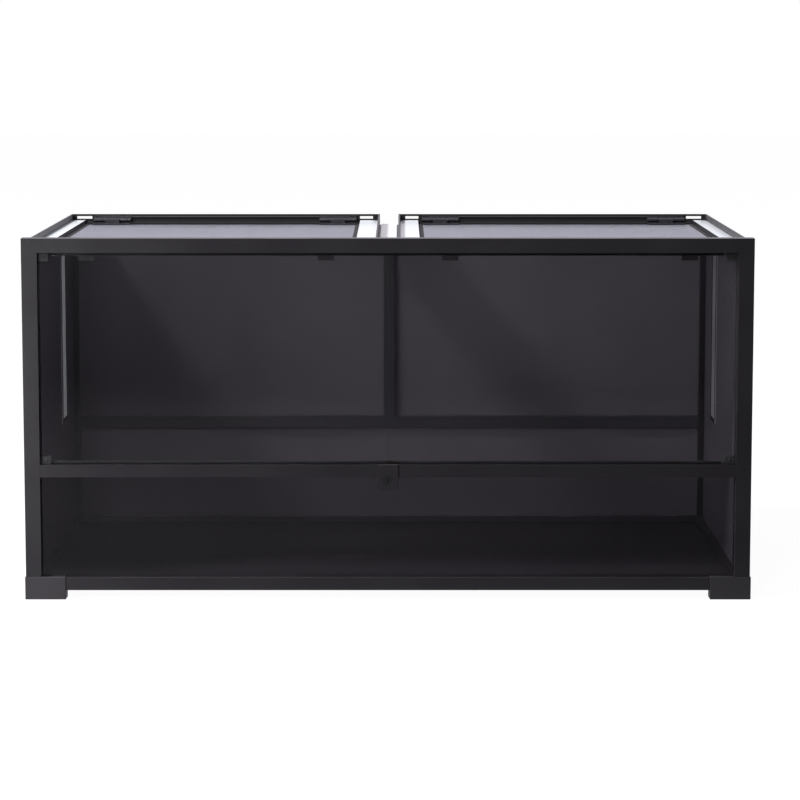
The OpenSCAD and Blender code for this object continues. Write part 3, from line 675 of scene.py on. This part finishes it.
class TERRARIUM_OT_profiles(bpy.types.Operator):
    """Dress the posts, rails, top beam and rear upright as extruded aluminium"""
    bl_idname = "terrarium.profiles"
    bl_label = "Profiles"

    def execute(self, context):
        edge = settings("frame").profile_edge
        across = ("top", "middle", "bottom")
        runs = {
            "z": ["rear_centre_post"] + [f"post_{end}_{side}" for end in ENDS for side in SIDES],
            "x": [f"rail_{end}_{level}" for end in ENDS for level in across],
            "y": ["top_centre_beam"] + [f"rail_{side}_{end}" for side in SIDES for end in ("top", "bottom")],
        }
        for axis, nodes in runs.items():
            for node in nodes:
                # Rear rails and the rear upright take the paler copy of the profile finish, which is painted
                # light.
                place = "rear_" if node.startswith(("rail_rear", "rear_centre")) else ""
                dress(node, "profile", f"{place}profile_{axis}", "frame", edge)
        # The beam's top faces get the white painted reflection, not a real white coat.
        self.paint_beam_reflection(bpy.data.objects["top_centre_beam_profile"])
        return {"FINISHED"}

    def paint_beam_reflection(self, beam):
        """The raised strip between the two top units gets a painted reflection in white, and the base under
        it is black.
        """
        above_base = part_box("rail_left_top")[1].z + 0.1 * MM
        beam.data.materials.append(finish_of("beam_painted_reflection"))
        for face in beam.data.polygons:
            face.material_index = int(face.center.z > above_base)


class TERRARIUM_OT_fittings(bpy.types.Operator):
    """Dress the feet as moulded plastic, and the corner blocks in the finish of the posts"""
    bl_idname = "terrarium.fittings"
    bl_label = "Feet and corners"

    def execute(self, context):
        foot_edge, cast_edge = settings("frame").fitting_edge, 0.2 * MM
        for end in ENDS:
            for side in SIDES:
                dress(f"foot_{end}_{side}", "moulding", "plastic", "plastic", foot_edge)
                dress(f"top_corner_{end}_{side}", "casting", "profile_z", "plastic", cast_edge)
        return {"FINISHED"}


class TERRARIUM_OT_walls(bpy.types.Operator):
    """Dress the floor and the walls as satin sheet"""
    bl_idname = "terrarium.walls"
    bl_label = "Floor and walls"

    def execute(self, context):
        edge = settings("frame").fine_edge
        dress("floor_panel", "sheet", "floor", "panel", edge)
        for side in SIDES:
            dress(f"side_panel_{side}", "sheet", "side_wall", "panel", edge)
        for level in ("lower", "upper_left", "upper_right"):
            dress(f"rear_panel_{level}", "sheet", "wall", "panel", edge)
        return {"FINISHED"}


class TERRARIUM_OT_vents(bpy.types.Operator):
    """Make the perforated vent strips on the side walls"""
    bl_idname = "terrarium.vents"
    bl_label = "Vent strips"

    def execute(self, context):
        sizes = settings("mesh")
        border = 3 * MM
        tree = perforated_tree()
        for side in SIDES:
            node = f"vent_grille_{side}"
            low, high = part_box(node)
            piece = grow(f"{node}_perforated", tree, {
                "Width": high.y - low.y, "Height": high.z - low.z, "Border": border,
                "Pitch": sizes.hole_pitch, "Radius": sizes.hole_radius,
                "Thickness": high.x - low.x, "Material": finish_of("vent")})
            middle = (low + high) / 2
            piece.data.transform(Matrix.Translation((low.x, middle.y, middle.z)))
            settle(piece, "vent", body_of(node), node)
            self.frame_vent(node, low, high)
        return {"FINISHED"}

    def frame_vent(self, node, low, high):
        """A thin black bezel over the border of the vent strip, on its inner face."""
        border, proud, edge = 8 * MM, 0.3 * MM, 0.1 * MM
        inward = -1 if low.x > 0 else 1
        face = low.x if inward < 0 else high.x
        outer = [(low.y, low.z), (high.y, low.z), (high.y, high.z), (low.y, high.z)]
        inner = [(low.y + border, low.z + border), (high.y - border, low.z + border),
                 (high.y - border, high.z - border), (low.y + border, high.z - border)]
        ring = bmesh.new()
        corners = [[ring.verts.new((face + lift, y, z)) for y, z in loop]
                   for lift in (0, inward * proud) for loop in (outer, inner)]
        back_outer, back_inner, front_outer, front_inner = corners
        for a in range(4):
            b = (a + 1) % 4
            ring.faces.new((back_outer[a], back_outer[b], back_inner[b], back_inner[a]))
            ring.faces.new((front_outer[a], front_outer[b], front_inner[b], front_inner[a]))
            ring.faces.new((back_outer[a], back_outer[b], front_outer[b], front_outer[a]))
            ring.faces.new((back_inner[a], back_inner[b], front_inner[b], front_inner[a]))
        bmesh.ops.recalc_face_normals(ring, faces=ring.faces)
        name = f"{node}_bezel"
        piece = new_piece(name, plain_mesh(name, ring), finish_of("nylon"))
        soften_edges(piece, edge)
        settle(piece, "plastic", body_of(node))


class TERRARIUM_OT_glass(bpy.types.Operator):
    """Make the glass panes with ground edges"""
    bl_idname = "terrarium.glass"
    bl_label = "Glass"

    def execute(self, context):
        self.make_pane("front_glass_lower", "low_pane", 1)
        for side in SIDES:
            self.make_pane(f"door_glass_{side}", "pane", 1)
            for end in ("inner", "outer"):
                # The strips beside the lids get the white of a painted reflection.
                self.make_pane(f"top_glass_{side}_{end}", "reflection_painted_glass", 2)
        return {"FINISHED"}

    def make_pane(self, node, finish, thin_axis):
        """One pane: its faces across the thin axis are clear, and its chamfered rim is ground."""
        square_on = 0.99
        solid = welded(node)
        sharp = [e for e in solid.edges if len(e.link_faces) == 2 and e.calc_face_angle() > SHARP]
        bmesh.ops.bevel(solid, geom=sharp, offset=settings("glass").chamfer, segments=1, affect="EDGES")
        solid.normal_update()
        on_rim = [abs(f.normal[thin_axis]) < square_on for f in solid.faces]
        name = f"{node}_pane"
        mesh = plain_mesh(name, solid)
        mesh.shade_flat()
        piece = new_piece(name, mesh, finish_of(finish))
        mesh.materials.append(finish_of("glass_edge"))
        mesh.polygons.foreach_set("material_index", [int(rim) for rim in on_rim])
        settle(piece, "glass", body_of(node), node)


class TERRARIUM_OT_doors(bpy.types.Operator):
    """Dress the door clips and put their clamp screws in"""
    bl_idname = "terrarium.doors"
    bl_label = "Door clips"

    def execute(self, context):
        to_hinge_screw, inset = 0.8, 13.5 * MM
        radius = settings("mesh").screw_radius * to_hinge_screw
        tree = screw_row_tree()
        for side in SIDES:
            node = f"door_clips_{side}"
            low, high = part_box(node)
            dress(node, "moulding", "nylon", "plastic", settings("frame").fine_edge)
            for word, level in (("lower", low.z + inset), ("upper", high.z - inset)):
                piece = grow(f"door_screw_{word}_{side}", tree, {
                    "Count": 1, "Spacing": 0.0, "Radius": radius, "Material": finish_of("screw")})
                spot = Matrix.Translation(((low.x + high.x) / 2, low.y, level))
                piece.data.transform(spot @ Matrix.Rotation(math.pi / 2, 4, "X"))
                settle(piece, "steel", body_of(node))
        return {"FINISHED"}


class TERRARIUM_OT_lock(bpy.types.Operator):
    """Dress the lock housing, its cylinder and its bolt"""
    bl_idname = "terrarium.lock"
    bl_label = "Lock"

    def execute(self, context):
        sizes = settings("frame")
        dress("lock_housing", "moulding", "lock_plastic", "plastic", 2 * sizes.fine_edge)
        dress("lock_cylinder", "turned", "key_plug", "steel", sizes.fine_edge / 2)
        dress("lock_bolt", "plate", "steel", "steel", sizes.fine_edge / 2)
        return {"FINISHED"}


class TERRARIUM_OT_top(bpy.types.Operator):
    """Dress the rims and the rear bars of the two top units"""
    bl_idname = "terrarium.top"
    bl_label = "Top units"

    def execute(self, context):
        for side in SIDES:
            for node, finish in ((f"top_frame_{side}", "rim_plastic"), (f"top_rear_bar_{side}", "nylon")):
                dress(node, "moulding", finish, "plastic", settings("frame").fine_edge)
            self.add_bead(side)
        return {"FINISHED"}

    def add_bead(self, side):
        """A half-round moulding along the rear wall, between the cable slots."""
        radius, drop, wall, reach, edge = 1.9 * MM, 5.2 * MM, 3.5 * MM, 56 * MM, 0.2 * MM
        steps = 8
        low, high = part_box(f"top_rear_bar_{side}")
        middle = Vector((0, high.y - wall, high.z - drop))
        tube = bmesh.new()
        ends = []
        for x in (low.x + reach, high.x - reach):
            arc = [math.pi / 2 + math.pi * step / steps for step in range(steps + 1)]
            ends.append([tube.verts.new((
                x, middle.y + radius * math.cos(a), middle.z + radius * math.sin(a))) for a in arc])
        for a in range(steps):
            tube.faces.new((ends[0][a], ends[0][a + 1], ends[1][a + 1], ends[1][a]))
        tube.faces.new((ends[0][0], ends[0][-1], ends[1][-1], ends[1][0]))
        for end in ends:
            tube.faces.new(end)
        bmesh.ops.recalc_face_normals(tube, faces=tube.faces)
        name = f"rear_bead_{side}"
        piece = new_piece(name, plain_mesh(name, tube), finish_of("plastic"))
        soften_edges(piece, edge)
        settle(piece, "plastic", body_of(f"top_rear_bar_{side}"))


class TERRARIUM_OT_lids(bpy.types.Operator):
    """Dress the lid frames and lay the gauze in them"""
    bl_idname = "terrarium.lids"
    bl_label = "Lids"

    def execute(self, context):
        sizes = settings("mesh")
        edge = settings("frame").fine_edge
        tree = gauze_tree()
        for side in SIDES:
            dress(f"lid_frame_{side}", "profile", "powder_coat", "frame", edge)
            node = f"lid_mesh_{side}"
            low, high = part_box(node)
            piece = grow(f"{node}_gauze", tree, {
                "Width": high.x - low.x, "Depth": high.y - low.y, "Pitch": sizes.gauze_pitch,
                "Wire": sizes.gauze_wire, "Thickness": sizes.gauze_thick, "Material": finish_of("gauze")})
            piece.data.transform(Matrix.Translation((low + high) / 2))
            settle(piece, "mesh", body_of(node), node)
        return {"FINISHED"}


class TERRARIUM_OT_hinges(bpy.types.Operator):
    """Dress the lid hinges and put the screws in their leaves"""
    bl_idname = "terrarium.hinges"
    bl_label = "Hinges"

    def execute(self, context):
        edge = settings("frame").fine_edge
        dress("hinge_bases", "pressed", "hinge", "hinge", edge)
        dress("hinge_pins", "turned", "steel", "steel", edge)
        leaf_w, leaf_d, leaf_t = 68 * MM, 16 * MM, 1.5 * MM
        screw_step = leaf_w / 3.2
        tree = screw_row_tree()
        for side in SIDES:
            node = f"hinge_leaves_{side}"
            dress(node, "pressed", "hinge", "hinge", edge)
            low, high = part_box(node)
            lid_rear, lid_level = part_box(f"lid_frame_{side}")[1].yz
            for word, middle in (("left", low.x + leaf_w / 2), ("right", high.x - leaf_w / 2)):
                piece = grow(f"hinge_screws_{word}_{side}", tree, {
                    "Count": 3, "Spacing": screw_step, "Radius": settings("mesh").screw_radius,
                    "Material": finish_of("screw")})
                spot = (middle, lid_rear - leaf_d / 2, lid_level + leaf_t)
                piece.data.transform(Matrix.Translation(spot))
                settle(piece, "steel", body_of(node))
        return {"FINISHED"}


class TERRARIUM_OT_latches(bpy.types.Operator):
    """Dress the four lid latches"""
    bl_idname = "terrarium.latches"
    bl_label = "Latches"

    def execute(self, context):
        edge = settings("frame").fine_edge
        for side in SIDES:
            for end in ("inner", "outer"):
                dress(f"latch_{side}_{end}", "moulding", "nylon", "plastic", edge)
        return {"FINISHED"}


# Each softbox: where it hangs, what it faces, and its width and height, in metres.
SOFTBOXES = {
    "key": ((-3.2, -1.9, 4.3), (0.0, 0.1, 0.4), (0.8, 0.8)),
    "strip": ((-1.15, -1.0, 0.3), (-0.55, -0.3, 0.25), (0.35, 0.9)),
    "front": ((-0.75, -4.2, 2.85), (0.0, 0.29, 0.2), (0.5, 0.4)),
}
# As gloss mirrors the studio, its front is bright at the left and dark at the right, and from the rear on
# it is white. The floor's limits are in metres, and the room's are parts of a unit direction.
FLOOR_REACH = {"left": -1.66, "right": 0.71, "front": -0.6, "rear": 0.4}
ROOM_REACH = {"left": -0.35, "right": 0.15, "front": -0.7, "rear": 0.1}
NEAR_FLOOR = {"From Min": -3.2, "From Max": -1.2, "To Min": 0.65, "To Max": 2.8}
WHITE = [1, 1, 1, 1]
MIRRORED_COLOUR = "F6F0FA"
CAMERA_SPOT = (0.020, -4.754, 0.939)
CAMERA_DIP = 6.689   # degrees below level


class TERRARIUM_OT_stage(bpy.types.Operator):
    """Set up the floor, the lamps, the room and the camera"""
    bl_idname = "terrarium.stage"
    bl_label = "Stage"

    def execute(self, context):
        scene = context.scene
        scene.view_settings.view_transform = "Standard"
        self.lay_floor()
        self.light_room(scene)
        for name, (spot, target, size) in SOFTBOXES.items():
            power = getattr(settings("stage"), f"{name}_power")
            self.hang_softbox(f"{name}_softbox", spot, target, size, power)
        self.set_camera(scene)
        return {"FINISHED"}

    def sort_rays(self, tree):
        """Two factors: 1 for what is seen straight or through glass, and 1 for what a gloss mirrors."""
        path = add(tree, "ShaderNodeLightPath").outputs
        passing = path["Is Transmission Ray"]
        bounces = add(tree, "ShaderNodeMath", {
            0: path["Diffuse Depth"], 1: path["Glossy Depth"]}, operation="ADD")
        straight = add(tree, "ShaderNodeMath", {0: bounces, 1: 0.5}, operation="LESS_THAN")
        through = add(tree, "ShaderNodeMath", {0: passing, 1: straight}, operation="MULTIPLY")
        seen = add(tree, "ShaderNodeMath", {0: path["Is Camera Ray"], 1: through}, operation="MAXIMUM")
        after_gloss = add(tree, "ShaderNodeMath", {
            0: passing, 1: path["Glossy Depth"]}, operation="MULTIPLY")
        gloss = add(tree, "ShaderNodeMath", {0: path["Is Glossy Ray"], 1: after_gloss}, operation="MAXIMUM")
        undimmed = add(tree, "ShaderNodeMath", {0: path["Diffuse Depth"], 1: 0.5}, operation="LESS_THAN")
        clean = add(tree, "ShaderNodeMath", {0: gloss, 1: undimmed}, operation="MULTIPLY")
        return seen, add(tree, "ShaderNodeMath", {0: clean, 1: 1.0}, operation="MINIMUM")

    def mirrored_level(self, tree, across, left, right, front, rear, near=1.0):
        """How bright gloss shows a place. In front, the shade falls fast and then slowly from the left."""
        sizes = settings("stage")
        fade = add(tree, "ShaderNodeMapRange", {"Value": across["X"], "From Min": right, "From Max": left})
        fast_fade = add(tree, "ShaderNodeMath", {0: fade, 1: fade}, operation="MULTIPLY")
        side_shade = add(tree, "ShaderNodeMapRange", {
            "Value": fast_fade, "To Min": sizes.right_shade, "To Max": sizes.left_shade})
        shade = add(tree, "ShaderNodeMath", {0: side_shade, 1: near}, operation="MULTIPLY")
        return add(tree, "ShaderNodeMapRange", {
            "Value": across["Y"], "From Min": front, "From Max": rear, "To Min": shade, "To Max": 1.0})

    def lay_floor(self):
        """A pale sweep. It is seen near white with a faint shadow, and gloss mirrors it dark in front."""
        half, shadow_level, glow_level = 20.0, 0.15, 0.96
        mesh = bpy.data.meshes.new("studio_floor")
        mesh.from_pydata([(-half, -half, 0), (half, -half, 0), (half, half, 0), (-half, half, 0)],
                         [], [(0, 1, 2, 3)])
        material, tree = new_material("painted_sweep")
        place = add(tree, "ShaderNodeTexCoord").outputs["Object"]
        across = add(tree, "ShaderNodeSeparateXYZ", {"Vector": place}).outputs
        near = add(tree, "ShaderNodeMapRange", {"Value": across["Y"], **NEAR_FLOOR})
        level = self.mirrored_level(tree, across, **FLOOR_REACH, near=near)
        pale = add(tree, "ShaderNodeBsdfDiffuse", {"Color": linear("E6E6E6")})
        shadow = add(tree, "ShaderNodeBsdfDiffuse", {"Color": [shadow_level] * 3 + [1]})
        glow = add(tree, "ShaderNodeEmission", {"Color": WHITE, "Strength": glow_level})
        looked_at = add(tree, "ShaderNodeAddShader", {0: shadow, 1: glow})
        mirrored = add(tree, "ShaderNodeEmission", {"Color": linear(MIRRORED_COLOUR), "Strength": level})
        seen, gloss = self.sort_rays(tree)
        some = add(tree, "ShaderNodeMixShader", {"Fac": gloss, 1: pale, 2: mirrored})
        both = add(tree, "ShaderNodeMixShader", {"Fac": seen, 1: some, 2: looked_at})
        add(tree, "ShaderNodeOutputMaterial", {"Surface": both})
        new_piece("studio_floor", mesh, material)

    def light_room(self, scene):
        """The world: white where it is seen, shaded behind the camera for gloss, and even for the rest."""
        world = bpy.data.worlds.new("studio_room")
        world.cycles.sampling_method = "NONE"
        scene.world = world
        world.use_nodes = True
        tree = world.node_tree
        tree.nodes.clear()
        place = add(tree, "ShaderNodeTexCoord").outputs["Generated"]
        across = add(tree, "ShaderNodeSeparateXYZ", {"Vector": place}).outputs
        level = self.mirrored_level(tree, across, **ROOM_REACH)
        white = add(tree, "ShaderNodeBackground", {"Color": WHITE, "Strength": 1.0})
        mirrored = add(tree, "ShaderNodeBackground", {"Color": linear(MIRRORED_COLOUR), "Strength": level})
        even = add(tree, "ShaderNodeBackground", {
            "Color": linear("F4F2FF"), "Strength": settings("stage").ambient})
        seen, gloss = self.sort_rays(tree)
        some = add(tree, "ShaderNodeMixShader", {"Fac": gloss, 1: even, 2: mirrored})
        both = add(tree, "ShaderNodeMixShader", {"Fac": seen, 1: some, 2: white})
        add(tree, "ShaderNodeOutputWorld", {"Surface": both})

    def hang_softbox(self, name, spot, target, size, power):
        """A rectangular lamp at a spot, turned to a target."""
        lamp = bpy.data.lights.new(name, "AREA")
        lamp.shape = "RECTANGLE"
        lamp.size, lamp.size_y = size
        lamp.energy = power
        holder = bpy.data.objects.new(name, lamp)
        bpy.context.scene.collection.objects.link(holder)
        holder.location = spot
        holder.rotation_euler = (Vector(target) - Vector(spot)).to_track_quat("-Z", "Y").to_euler()

    def set_camera(self, scene):
        """The photograph's view: a long lens, a little above the top, looking slightly down."""
        camera = bpy.data.cameras.new("photo_camera")
        camera.sensor_width = 36.0
        camera.lens = 122.95
        camera.shift_y = -0.0625
        camera.clip_end = 100.0
        holder = bpy.data.objects.new("photo_camera", camera)
        scene.collection.objects.link(holder)
        holder.location = CAMERA_SPOT
        holder.rotation_euler = (math.radians(90 - CAMERA_DIP), 0, 0)
        scene.camera = holder


# ---------------------------------------------------------------- panel and main

STEPS = (
    TERRARIUM_OT_stage, TERRARIUM_OT_profiles, TERRARIUM_OT_fittings, TERRARIUM_OT_walls,
    TERRARIUM_OT_vents, TERRARIUM_OT_glass, TERRARIUM_OT_doors, TERRARIUM_OT_lock,
    TERRARIUM_OT_top, TERRARIUM_OT_lids, TERRARIUM_OT_hinges, TERRARIUM_OT_latches,
)
GROUPS = {
    "frame": TerrariumFrameSettings, "glass": TerrariumGlassSettings,
    "mesh": TerrariumMeshSettings, "stage": TerrariumStageSettings,
}


class TERRARIUM_PT_sidebar(bpy.types.Panel):
    """Lists the terrarium's pieces and their sizes"""
    bl_idname = "TERRARIUM_PT_sidebar"
    bl_label = "Terrarium"
    bl_space_type = "VIEW_3D"
    bl_region_type = "UI"
    bl_category = "Terrarium"

    def draw(self, context):
        for word, group in GROUPS.items():
            box = self.layout.box()
            for name in group.__annotations__:
                box.prop(settings(word), name)
        for step in STEPS:
            self.layout.operator(step.bl_idname)


def register():
    for group in GROUPS.values():
        bpy.utils.register_class(group)
    for word, group in GROUPS.items():
        setattr(bpy.types.Scene, f"terrarium_{word}", bpy.props.PointerProperty(type=group))
    for step in STEPS:
        bpy.utils.register_class(step)
    bpy.utils.register_class(TERRARIUM_PT_sidebar)


def unregister():
    bpy.utils.unregister_class(TERRARIUM_PT_sidebar)
    for step in reversed(STEPS):
        bpy.utils.unregister_class(step)
    for word, group in GROUPS.items():
        delattr(bpy.types.Scene, f"terrarium_{word}")
        bpy.utils.unregister_class(group)


def main():
    register()
    for step in STEPS:
        package, name = step.bl_idname.split(".")
        getattr(getattr(bpy.ops, package), name)()


if __name__ == "__main__":
    main()
